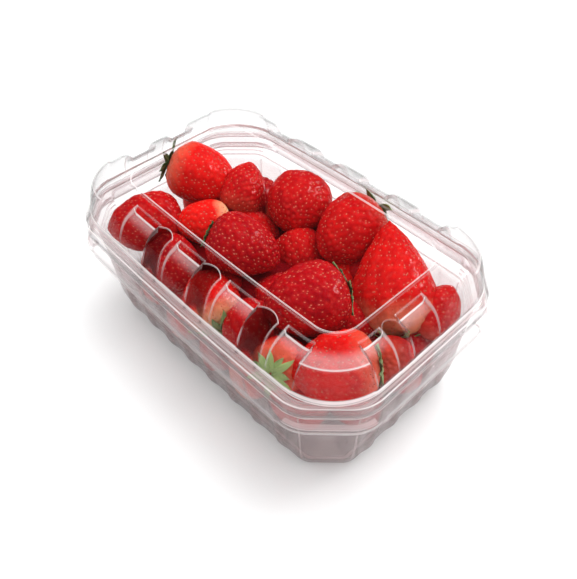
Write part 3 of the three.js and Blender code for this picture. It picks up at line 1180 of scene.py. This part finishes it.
@dataclass(frozen=True)
class Berry:
    """One berry: centre, size and direction from the calyx to the tip, in millimetres and degrees."""

    WIDEST: ClassVar[float] = 0.36
    MIDDLE: ClassVar[float] = 0.45
    CORE_LINE: ClassVar[Pair] = (-0.25, 0.2)

    x: float
    y: float
    z: float
    length: float
    width: float
    yaw: float
    pitch: float
    taper: float
    ripeness: Ripeness = Ripeness.RED

    def axes(self) -> tuple[np.ndarray, np.ndarray, np.ndarray]:
        """Finds the berry's own directions.

        Returns:
            Directions along the berry, across it, and up from it.
        """
        a, b = math.radians(self.yaw), math.radians(self.pitch)
        axis = np.array([math.cos(a) * math.cos(b), math.sin(a) * math.cos(b), math.sin(b)])
        across = np.array([math.sin(a), -math.cos(a), 0.0])
        return axis, across, np.cross(across, axis)

    def at(self, t: np.ndarray, radius: np.ndarray, turn: np.ndarray) -> np.ndarray:
        """Finds points from their places on the berry.

        Args:
            t: shares of the length.
            radius: distances off the axis.
            turn: turns about the axis, in radians.

        Returns:
            The points.
        """
        axis, across, upper = self.axes()
        t, radius, turn = np.broadcast_arrays(t, radius, turn)
        return (
            np.array([self.x, self.y, self.z])
            + ((t - self.MIDDLE) * self.length)[..., None] * axis
            + (radius * np.cos(turn))[..., None] * across
            + (radius * np.sin(turn))[..., None] * upper
        )

    def radius(self, t: np.ndarray) -> np.ndarray:
        """Finds the radius along the berry, blunt at the calyx and tapered to the tip.

        Args:
            t: shares of the length.

        Returns:
            The radii.
        """
        t = np.clip(t, 0.0, 1.0)
        s = np.clip(1 - t / self.WIDEST, 0.0, 1.0)
        near = 0.42 * np.sqrt(1 - s**2) + 0.58 * np.sqrt(1 - s**4)
        s = np.clip((t - self.WIDEST) / (1 - self.WIDEST), 0.0, 1.0)
        far = (1 - s ** (2.3 - 0.4 * self.taper)) ** (0.62 + 0.12 * self.taper)
        return self.width / 2 * np.where(t < self.WIDEST, near, far)

    def walk(self) -> np.ndarray:
        """Walks over the skin from the calyx.

        Returns:
            Rows of distance walked, and of share, radius and steepness there.
        """
        t = 0.8 * np.linspace(0.0, 1.0, 160) ** 1.6
        r = self.radius(t)
        steps = np.hypot(np.diff(t) * self.length, np.diff(r))
        slope = np.arctan2(np.gradient(t * self.length), np.gradient(r))
        return np.array([np.concatenate([[0.0], np.cumsum(steps)]), t, r, slope])

    def surface(self, t: np.ndarray, turn: np.ndarray, seed: float) -> np.ndarray:
        """Points of the skin before dimples, its roundness made uneven by a seed."""
        lobes = 1 + 0.03 * np.sin(2 * turn + seed) + 0.02 * np.sin(3 * turn + 2.4 * seed)
        return self.at(t, self.radius(t) * lobes, turn)

    def away(self, points: np.ndarray) -> np.ndarray:
        """Finds directions straight out from the berry's core line.

        Args:
            points: points on the skin.

        Returns:
            A unit vector for each.
        """
        centre, axis = np.array([self.x, self.y, self.z]), self.axes()[0]
        low, high = (share * self.length for share in self.CORE_LINE)
        out = points - (centre + axis * np.clip((points - centre) @ axis, low, high)[:, None])
        return out / np.maximum(np.linalg.norm(out, axis=1), 1e-6)[:, None]


HIGH_BERRIES = (
    Berry(-66, 7.5, 60.5, 37, 32, 30, -17, 0.4, Ripeness.BRIGHT),
    Berry(-43, 17, 58, 27, 22.5, 115, 40, 0.3, Ripeness.RED),
    Berry(-16, 31, 57, 32, 32, -55, 0, 0.2, Ripeness.DEEP),
    Berry(-10.6, -11.6, 59, 36, 28, 30, -18, 0.5, Ripeness.DEEP),
    Berry(-65, -28, 50, 38, 31, -110, 10, 0.4, Ripeness.DEEP),
    Berry(-43, -8, 51, 28, 23, 235, 5, 0.3, Ripeness.ORANGE),
    Berry(17, 34, 58, 37, 32, -90, -10, 0.5, Ripeness.RED),
    Berry(50, 27, 50, 54, 39, 140, 43, 2.2, Ripeness.HALF_PALE),
    Berry(36.7, -13.6, 60, 38, 32.5, -115, 0, 0.4, Ripeness.DEEP),
    Berry(0, 16, 42, 28, 26, -15, -20, 0.4, Ripeness.DEEP),
)
SIDE_BERRIES = (
    Berry(67, -26.5, 52, 36, 31, -132, -5, 0.3, Ripeness.BRIGHT),
    Berry(44, -37, 44, 29, 25, 114, -33, 0.5, Ripeness.BRIGHT),
    Berry(-5, -36, 43, 31, 27, 158, 18, 0.5, Ripeness.PALE_SHOULDER),
    Berry(-38, -34, 44, 31, 26, 10, -18, 0.5, Ripeness.DEEP),
    Berry(74.5, -1.5, 43, 25, 20, 97, -38, 0.5, Ripeness.RED),
    Berry(71.5, 32, 43, 27, 23, 95, 40, 0.5, Ripeness.RED),
    Berry(23, 22, 36, 27, 25, 135, 25, 0.4, Ripeness.BRIGHT),
    Berry(19, -31, 40, 30, 27, 15, -5, 0.4, Ripeness.DEEP),
    Berry(69, 17, 30, 26, 23, 10, -5, 0.4, Ripeness.DEEP),
    Berry(-28, 10, 40, 30, 26, 20, -10, 0.4, Ripeness.DEEP),
    Berry(13, -8, 38, 30, 26, 70, 10, 0.4, Ripeness.DEEP),
    Berry(-12, -22, 36, 29, 25, 100, 0, 0.4, Ripeness.DEEP),
    Berry(45, 4, 38, 29, 25, 30, 0, 0.4, Ripeness.DEEP),
)
UPPER_BERRIES = HIGH_BERRIES + SIDE_BERRIES


@dataclass(frozen=True)
class Calyx:
    """A star of leaves on one of the upper berries."""

    berry: int
    leaves: int
    reach: float
    first_angle: float
    lift: float
    tone: float
    breadth: float = 0.15


CALYXES = (
    Calyx(0, 8, 10.5, 10, 5.5, 0.1, 0.2),
    Calyx(3, 5, 6.5, 40, 1.5, 0.05),
    Calyx(6, 11, 13, 36, 3.2, 0.45),
    Calyx(7, 9, 17, 0, 2.5, 0.6),
    Calyx(8, 8, 12, 20, 1.5, 0.3),
    Calyx(10, 8, 10, 20, 2.0, 0.6),
    Calyx(11, 11, 9.3, 5, 2.6, 1.0, 0.17),
    Calyx(12, 8, 12, 30, 2.5, 0.6),
)


@dataclass
class Foliage:
    """The leaf stars, gathered into one mesh."""

    rows: int = 11
    columns: int = 7
    thickness: float = 0.35
    tip: float = 0.05
    start: float = 0.6
    points: list = field(default_factory=list)
    faces: list = field(default_factory=list)
    tones: list = field(default_factory=list)
    ribs: list = field(default_factory=list)

    def leaf(self, berry: Berry, calyx: Calyx, number: int) -> None:
        """Adds one wavy leaf, thin and closed, that follows the shoulder and lifts off at its tip.

        Args:
            berry: the berry.
            calyx: its star.
            number: the leaf's number in the star.
        """
        wave = math.sin(2.7 * number + calyx.berry)
        turn = math.radians(calyx.first_angle) + 2 * math.pi * number / calyx.leaves
        under = np.array([0.0, self.thickness])[:, None, None]
        u = np.linspace(0.0, 1.0, self.rows)[None, :, None]
        v = np.linspace(-1.0, 1.0, self.columns)[None, None, :]
        spread = calyx.breadth * calyx.reach * np.sin(math.pi * np.minimum(1.0, 0.9 * u + 0.1)) ** 0.7
        spread = np.where(u < 1.0, spread * (1 - 0.35 * u**3), self.tip)
        walk = berry.walk()
        walked = self.start + calyx.reach * (0.92 + 0.14 * wave) * u
        t, rho, slope = (np.interp(walked, walk[0], row) for row in walk[1:])
        bend = turn + 0.15 * wave * u + v * spread / np.maximum(rho, 1.0)
        lift = 0.5 + calyx.lift * (0.6 + 0.5 * wave) * u**1.6
        ripple = 0.45 * np.sin(9 * u + 3 * wave + 2 * v) * abs(v) + 0.5 * v**2 * (1 - u)
        height = lift + ripple + 0.25 * (1 - abs(v)) - under
        spots = berry.at(t - height * np.cos(slope) / berry.length, rho + height * np.sin(slope), bend)
        self.close(sum(len(made) for made in self.points))
        self.points.append(spots.reshape(-1, 3))
        tone = np.clip(calyx.tone + 0.12 * wave - 0.1 * u, 0.0, 1.0)
        rib = np.maximum(0.0, 1 - 3 * abs(v)) * (1 - 0.5 * u) + 0.6 * np.maximum(0.0, 1 - 4 * u)
        for kept, values in ((self.tones, tone), (self.ribs, rib)):
            kept.append(np.broadcast_to(values, height.shape).reshape(-1))

    def close(self, base: int) -> None:
        """Adds the faces of one leaf: its upper and under side, and the edge all round.

        Args:
            base: number of the leaf's first vertex.
        """
        across, layer = self.columns, self.rows * self.columns
        for a in (base + i * across + k for i in range(self.rows - 1) for k in range(across - 1)):
            b = a + layer
            self.faces += [(a, a + across, a + across + 1, a + 1), (b, b + 1, b + across + 1, b + across)]
        left = [base + i * across for i in range(self.rows)]
        near = [base + k for k in range(across)]
        right, far = [a + across - 1 for a in left], [a + layer - across for a in near]
        pairs = [*zip(left[1:], left), *zip(right, right[1:]), *zip(near, near[1:]), *zip(far[1:], far)]
        self.faces += [(start, end, end + layer, start + layer) for start, end in pairs]

    def build(self, name: str, material: bpy.types.Material) -> bpy.types.Object:
        """Joins every leaf into one piece.

        Args:
            name: the piece's name.
            material: the leaves' finish.

        Returns:
            The object.
        """
        for calyx in CALYXES:
            for number in range(calyx.leaves):
                self.leaf(UPPER_BERRIES[calyx.berry], calyx, number)
        attributes = {"tone": np.concatenate(self.tones), "rib": np.concatenate(self.ribs)}
        return mesh_object(name, np.vstack(self.points), self.faces, material, attributes)


def squared(value: np.ndarray) -> np.ndarray:
    """Turns cosines and sines into those of an oval with squared ends."""
    return np.sign(value) * np.abs(value) ** 0.55


@dataclass
class Heap:
    """The berries over their core: bodies and seeds."""

    high_grid: tuple[int, int] = (84, 112)
    side_grid: tuple[int, int] = (74, 98)
    lower_grid: tuple[int, int] = (30, 48)
    core_grid: tuple[int, int] = (40, 96)
    seed_size: Triple = (1.0, 0.64, 0.42)
    seed_spacing: float = 2.85
    seedless: float = 0.06
    golden_angle: float = 137.508
    dimple_depth: float = 0.65
    dimple_radius: float = 0.95
    set_in: float = 0.8
    lump: float = 0.35
    lump_waves: tuple[Triple, Triple] = ((0.31, 0.23, 0.27), (0.2, -0.33, 0.25))
    lower_rings: tuple = ((14, (66.0, 34.5), 18.0, 8.0, 360.0), (6, (67.0, 35.0), 39.0, 45.0, 150.0))
    lower_size: Triple = (31.0, 27.0, 0.4)
    core_levels: tuple[Triple, ...] = (
        (1.6, 47, 20),
        (4, 57, 27),
        (26, 63, 30),
        (38, 61, 28),
        (44, 53, 21),
        (45.5, 43, 12),
    )
    core_lump: float = 1.2
    core_along: float = 0.6
    nests: list = field(default_factory=list)

    def places_round(self, count: int, reach: Pair, first: float, sweep: float) -> np.ndarray:
        """Places spaced evenly along an oval with squared ends.

        Args:
            count: how many.
            reach: half the oval's length and width.
            first: the angle of the first place, in degrees.
            sweep: how far round the places go, in degrees.

        Returns:
            Rows of x and y.
        """
        turn = np.radians(first + sweep * np.linspace(0.0, 1.0, 721))
        oval = np.stack([r * squared(v) for r, v in zip(reach, (np.cos(turn), np.sin(turn)))])
        walked = np.concatenate([[0.0], np.cumsum(np.hypot(*np.diff(oval, axis=1)))])
        stops = walked[-1] * np.arange(count) / count
        return np.stack([np.interp(stops, walked, row) for row in oval], axis=1)

    def lower_berries(self) -> list[Berry]:
        """Sets the plainer berries low against the walls, in rings.

        Returns:
            The berries.
        """
        length, width, taper = self.lower_size
        colours = (Ripeness.RED, Ripeness.DEEP, Ripeness.BRIGHT)
        found = []
        for ring, (count, reach, z, first, sweep) in enumerate(self.lower_rings):
            for i, (x, y) in enumerate(self.places_round(count, reach, first, sweep)):
                wobble = math.sin(4.3 * i + 2 * ring)
                size = (length + wobble, width + wobble)
                found.append(Berry(x, y, z + wobble, *size, 137.5 * i, 20 * wobble, taper, colours[i % 3]))
        return found

    def seeds_of(self, berry: Berry) -> tuple[np.ndarray, np.ndarray]:
        """Finds where the seeds of a berry are.

        Args:
            berry: the berry.

        Returns:
            Share of the length and turn of each seed, in a spiral with even spacing.
        """
        t = np.linspace(0.0, 1.0, 200)
        r = berry.radius(t)
        slant = np.hypot(np.gradient(t) * berry.length, np.gradient(r))
        area = np.cumsum(2 * math.pi * r * slant)
        count = int(area[-1] / (self.seed_spacing**2 * 0.87))
        places = np.interp((np.arange(count) + 0.5) / count * area[-1], area, t)
        number = np.arange(count)
        uneven = 0.015 * np.sin(number * 2.3 + berry.x) * (places > 0.1) * (places < 0.95)
        turn = number * math.radians(self.golden_angle) + 0.06 * np.sin(number * 1.7 + berry.y)
        return places + uneven, turn

    def body(
        self, berry: Berry, seed: float, rows: int, columns: int
    ) -> tuple[np.ndarray, dict[str, np.ndarray]]:
        """Shapes the skin of one berry with its dimples, and notes where its seeds go.

        Args:
            berry: the berry.
            seed: its own number, for unevenness.
            rows: rings from the calyx to the tip.
            columns: vertices in a ring.

        Returns:
            Points and attributes.
        """
        t = 0.5 - 0.5 * np.cos(math.pi * (np.arange(rows) + 0.5) / rows)
        turn = 2 * math.pi * np.arange(columns) / columns
        grid_t, grid_turn = np.meshgrid(t, turn, indexing="ij")
        skin = berry.surface(grid_t, grid_turn, seed).reshape(-1, 3)
        ends = berry.at(np.array([0.0, 1.0]), np.zeros(2), np.zeros(2))
        points = np.vstack([ends[:1], skin, ends[1:]])
        seed_t, seed_turn = self.seeds_of(berry)
        nests = berry.surface(seed_t, seed_turn, seed)
        gaps = np.sqrt(((points[:, None, :] - nests[None, :, :]) ** 2).sum(axis=2)).min(axis=1)
        dimple = np.exp(-((gaps / self.dimple_radius) ** 2))
        first, second = (points @ np.array(wave) for wave in self.lump_waves)
        lumps = self.lump * np.sin(first + seed) * np.sin(second)
        points = points + berry.away(points) * (lumps - self.dimple_depth * dimple)[:, None]
        facing = berry.away(nests)
        kept = seed_t > self.seedless
        places = (nests - facing * self.dimple_depth * self.set_in)[kept]
        self.nests.append(np.hstack([places, facing[kept], np.tile(berry.axes()[0], (len(places), 1))]))
        pale, tone = berry.ripeness.value
        attributes = {
            "along": np.concatenate([[0.0], grid_t.reshape(-1), [1.0]]),
            "dimple": dimple,
            "pale": np.full(len(points), pale),
            "tone": np.full(len(points), tone + 0.15 * math.sin(seed * 3.7)),
        }
        return points, attributes

    def bodies(
        self, name: str, berries: Sequence[Berry], grid: tuple[int, int], material: bpy.types.Material
    ) -> bpy.types.Object:
        """Joins the skins of several berries into one piece.

        Args:
            name: the piece's name.
            berries: the berries.
            grid: rings and vertices in a ring of each berry.
            material: the berries' finish.

        Returns:
            The object.
        """
        skins = [self.body(berry, float(number), *grid) for number, berry in enumerate(berries)]
        plain, size = ball_faces(*grid), grid[0] * grid[1] + 2
        # The rings run clockwise seen from the tip, so each face is turned round to point outwards.
        turned = [face[::-1] for face in plain]
        faces = [tuple(v + size * number for v in face) for number in range(len(skins)) for face in turned]
        attributes = {key: np.concatenate([skin[1][key] for skin in skins]) for key in skins[0][1]}
        return mesh_object(name, np.vstack([skin[0] for skin in skins]), faces, material, attributes)

    def seeds(self, name: str, material: bpy.types.Material, segments: int, rings: int) -> bpy.types.Object:
        """Sets a seed in every dimple made since the last call, by Geometry Nodes.

        Args:
            name: the piece's name.
            material: the seeds' finish.
            segments: sides of a seed.
            rings: steps from end to end of a seed.

        Returns:
            The object.
        """
        rows = np.vstack(self.nests)
        self.nests.clear()
        carrier = mesh_object(name, rows[:, :3], [], material)
        for key, values in (("facing", rows[:, 3:6]), ("along_berry", rows[:, 6:])):
            layer = carrier.data.attributes.new(key, "FLOAT_VECTOR", "POINT")
            layer.data.foreach_set("vector", values.astype(np.float32).ravel())
        values = {label: size * MM for label, size in zip(SEED_INPUTS, self.seed_size)}
        return grow(carrier, seed_tree(material), {**values, "Segments": segments, "Rings": rings})

    def core(self, name: str, material: bpy.types.Material) -> bpy.types.Object:
        """Shapes the lumpy block under the berries.

        Args:
            name: the piece's name.
            material: its finish.

        Returns:
            The object.
        """
        rows, sides = self.core_grid
        levels = np.array(self.core_levels, dtype=float)
        along = np.linspace(0, len(levels) - 1, rows)
        z, hl, hw = (np.interp(along, np.arange(len(levels)), levels[:, k])[:, None] for k in range(3))
        turn = 2 * math.pi * np.arange(sides)[None, :] / sides
        row = np.arange(rows)[:, None]
        lump = self.core_lump * np.sin(5 * turn + 0.9 * row) * np.sin(0.35 * row)
        x, y = (hl + lump) * squared(np.cos(turn)), (hw + lump) * squared(np.sin(turn))
        block = np.stack([x, y, np.broadcast_to(z, x.shape)], axis=2).reshape(-1, 3)
        points = np.vstack([[0.0, 0.0, z[0, 0]], block, [0.0, 0.0, z[-1, 0]]])
        attributes = {key: np.zeros(len(points)) for key in ("dimple", "pale", "tone")}
        attributes["along"] = np.full(len(points), self.core_along)
        return mesh_object(name, points, ball_faces(rows, sides), material, attributes)


# ---------------------------------------------------------------- seeds by nodes
SEED_INPUTS = ("Seed length", "Seed width", "Seed height")


def seed_tree(material: bpy.types.Material) -> bpy.types.NodeTree:
    """Geometry Nodes that set a flattened drop on every point.

    Args:
        material: the seeds' finish.

    Returns:
        The node group, with the three sizes and the fineness of a seed as its inputs.
    """
    tree = bpy.data.node_groups.new("set_seeds", "GeometryNodeTree")
    kinds = {"Points": "Geometry", **dict.fromkeys(SEED_INPUTS, "Float"), "Segments": "Int", "Rings": "Int"}
    for label, kind in kinds.items():
        tree.interface.new_socket(label, in_out="INPUT", socket_type=f"NodeSocket{kind}")
    tree.interface.new_socket("Seeds", in_out="OUTPUT", socket_type="NodeSocketGeometry")
    new, link = tree.nodes.new, tree.links.new
    start, end = new("NodeGroupInput"), new("NodeGroupOutput")
    ball = new("GeometryNodeMeshUVSphere")
    ball.inputs["Radius"].default_value = 0.5
    for label in ("Segments", "Rings"):
        link(start.outputs[label], ball.inputs[label])
    size = new("ShaderNodeCombineXYZ")
    for axis, label in enumerate(SEED_INPUTS):
        link(start.outputs[label], size.inputs[axis])
    shaped = new("GeometryNodeTransform")
    link(ball.outputs["Mesh"], shaped.inputs["Geometry"])
    link(size.outputs[0], shaped.inputs["Scale"])
    turn = None
    for name, axis, pivot in (("facing", "Z", "AUTO"), ("along_berry", "X", "Z")):
        read = new("GeometryNodeInputNamedAttribute")
        read.data_type = "FLOAT_VECTOR"
        read.inputs["Name"].default_value = name
        align = new("FunctionNodeAlignRotationToVector")
        align.axis, align.pivot_axis = axis, pivot
        link(read.outputs["Attribute"], align.inputs["Vector"])
        if turn is not None:
            link(turn, align.inputs["Rotation"])
        turn = align.outputs["Rotation"]
    scatter = new("GeometryNodeInstanceOnPoints")
    link(start.outputs["Points"], scatter.inputs["Points"])
    link(shaped.outputs[0], scatter.inputs["Instance"])
    link(turn, scatter.inputs["Rotation"])
    real = new("GeometryNodeRealizeInstances")
    link(scatter.outputs[0], real.inputs[0])
    dress = new("GeometryNodeSetMaterial")
    dress.inputs["Material"].default_value = material
    link(real.outputs[0], dress.inputs["Geometry"])
    link(dress.outputs[0], end.inputs[0])
    return tree


def grow(carrier: bpy.types.Object, tree: bpy.types.NodeTree, values: dict[str, Any]) -> bpy.types.Object:
    """Runs a node group on an object and keeps the result as its plain mesh.

    Args:
        carrier: the object with the points.
        tree: the node group.
        values: values of the group's inputs by name.

    Returns:
        The same object, with the made mesh and no modifier.
    """
    modifier = carrier.modifiers.new(tree.name, "NODES")
    modifier.node_group = tree
    for item in tree.interface.items_tree:
        if item.in_out == "INPUT" and item.name in values:
            modifier[item.identifier] = values[item.name]
    evaluated = carrier.evaluated_get(bpy.context.evaluated_depsgraph_get())
    made = bpy.data.meshes.new_from_object(evaluated)
    carrier.modifiers.clear()
    carrier.data = made
    made.polygons.foreach_set("use_smooth", [True] * len(made.polygons))
    return carrier


# ---------------------------------------------------------------- studio
@dataclass(frozen=True)
class Softbox:
    """A square light: place, point it faces and side in metres, and power in watts."""

    name: str
    place: Triple
    aim: Triple
    side: float
    watts: float
    glossy: bool = False
    matte: bool = True

    def hang(self) -> None:
        """Adds the light, mirrored by glossy surfaces or lighting matte ones as it says."""
        data = bpy.data.lights.new(self.name, "AREA")
        data.size = self.side
        data.energy = self.watts
        made = bpy.data.objects.new(self.name, data)
        made.location = self.place
        made.visible_glossy = self.glossy
        made.visible_diffuse = self.matte
        made.rotation_mode = "QUATERNION"
        made.rotation_quaternion = (Vector(self.aim) - Vector(self.place)).to_track_quat("-Z", "Y")
        bpy.context.scene.collection.objects.link(made)


@dataclass(frozen=True)
class Studio:
    """Camera, floor and lights."""

    focal_px: float = 642.86
    width_px: float = 577.0
    azimuth: float = 47.8
    elevation: float = 46.79
    roll: float = -1.67
    distance: float = 274.8
    target: Triple = (28.2, -17.8, 63.4)
    sensor: float = 36.0
    clip: Pair = (0.01, 20.0)
    floor_half: float = 3000.0
    dome: float = 0.3
    backdrop: Pair = (0.14, 1.15)
    backdrop_top: Pair = (0.12, 0.42)
    light_side: Triple = (0.67, 0.74, 0.0)
    light_reach: Pair = (-0.4, 0.6)
    dark_side: Triple = (-0.507, 0.46, 0.729)
    dark_edge: Pair = (0.84, 0.95)
    dark_share: float = 0.97
    see_through_layers: int = 40
    bounces: int = 10
    lights: tuple[Softbox, ...] = (
        Softbox("key", (0.02, 0.52, 1.0), (0.0, 0.0, 0.03), 0.9, 10.0),
        Softbox("canopy", (0.0, -0.1, 1.3), (0.0, -0.1, 0.0), 4.0, 54.0),
        Softbox("spark", (0.45, 0.85, 0.75), (0.0, 0.0, 0.05), 0.25, 16.0, glossy=True, matte=False),
    )

    def camera(self) -> None:
        """Makes the camera and makes it the scene's."""
        az, el, roll = (math.radians(v) for v in (self.azimuth, self.elevation, self.roll))
        forward = Vector((-math.sin(az) * math.cos(el), math.cos(az) * math.cos(el), -math.sin(el)))
        level = Vector((math.cos(az), math.sin(az), 0.0))
        upright = level.cross(forward)
        right = math.cos(roll) * level + math.sin(roll) * upright
        up = -math.sin(roll) * level + math.cos(roll) * upright
        data = bpy.data.cameras.new("camera")
        data.sensor_fit = "HORIZONTAL"
        data.sensor_width = self.sensor
        data.lens = self.focal_px * self.sensor / self.width_px
        data.clip_start, data.clip_end = self.clip
        made = bpy.data.objects.new("camera", data)
        turn = Matrix((right, up, -forward)).transposed().to_4x4()
        made.matrix_world = Matrix.Translation((Vector(self.target) - forward * self.distance) * MM) @ turn
        bpy.context.scene.collection.objects.link(made)
        bpy.context.scene.camera = made

    def floor(self, material: bpy.types.Material) -> None:
        """Lays the floor, which isn't part of the object."""
        corners = np.array([(-1, -1, 0), (1, -1, 0), (1, 1, 0), (-1, 1, 0)]) * self.floor_half
        mesh_object("floor", corners, [(0, 1, 2, 3)], material)

    def light(self) -> None:
        """Sets the sky and the lights, and how the picture is developed."""
        g = Graph(bpy.data.worlds.new("studio_sky"))
        scene = bpy.context.scene
        scene.world = g.owner
        direction = g.node("ShaderNodeTexCoord", output="Generated")
        to_dark, to_light = (
            g.vector("DOT_PRODUCT", direction, way, "Value") for way in (self.dark_side, self.light_side)
        )
        low, high = self.backdrop
        backdrop = g.ease(to_light, *self.light_reach) * (high - low) + low
        band = g.fade(g.height(direction), *self.backdrop_top)
        lit = band * (backdrop - self.dome) + self.dome
        strength = lit * (1.0 - g.ease(to_dark, *self.dark_edge) * self.dark_share)
        g.finish(g.node("ShaderNodeBackground", inputs={"Strength": strength}), "ShaderNodeOutputWorld")
        for softbox in self.lights:
            softbox.hang()
        scene.view_settings.view_transform = "Standard"
        scene.cycles.transparent_max_bounces = self.see_through_layers
        scene.cycles.max_bounces = self.bounces


def main() -> None:
    """Builds every piece in order."""
    logging.basicConfig(level=logging.INFO)
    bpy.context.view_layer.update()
    studio = Studio()
    studio.camera()
    studio.light()
    studio.floor(Paper().make())

    settle(Tray().build("tray_shell", TrayPlastic("tray_plastic").make()), "tray")
    settle(Lid().build("lid_shell", LidPlastic("lid_plastic").make()), "lid")

    heap = Heap()
    skin = BerrySkin().make()
    coat = SeedCoat().make()
    # A darker red than the berries: painted shade for the deep gaps between them.
    shaded_core_skin = BerrySkin("shaded_core_skin", deep=(0.16, 0.0006, 0.003), bright=(0.28, 0.001, 0.004)).make()
    pieces = [
        heap.core("heap_core", shaded_core_skin),
        heap.bodies("berries_high", HIGH_BERRIES, heap.high_grid, skin),
        heap.bodies("berries_side", SIDE_BERRIES, heap.side_grid, skin),
        heap.seeds("seeds_upper", coat, segments=6, rings=3),
        heap.bodies("berries_lower", heap.lower_berries(), heap.lower_grid, skin),
        heap.seeds("seeds_lower", coat, segments=5, rings=3),
        Foliage().build("berry_calyxes", LeafSkin().make()),
    ]
    for piece in pieces:
        settle(piece, "strawberries")


if __name__ == "__main__":
    main()
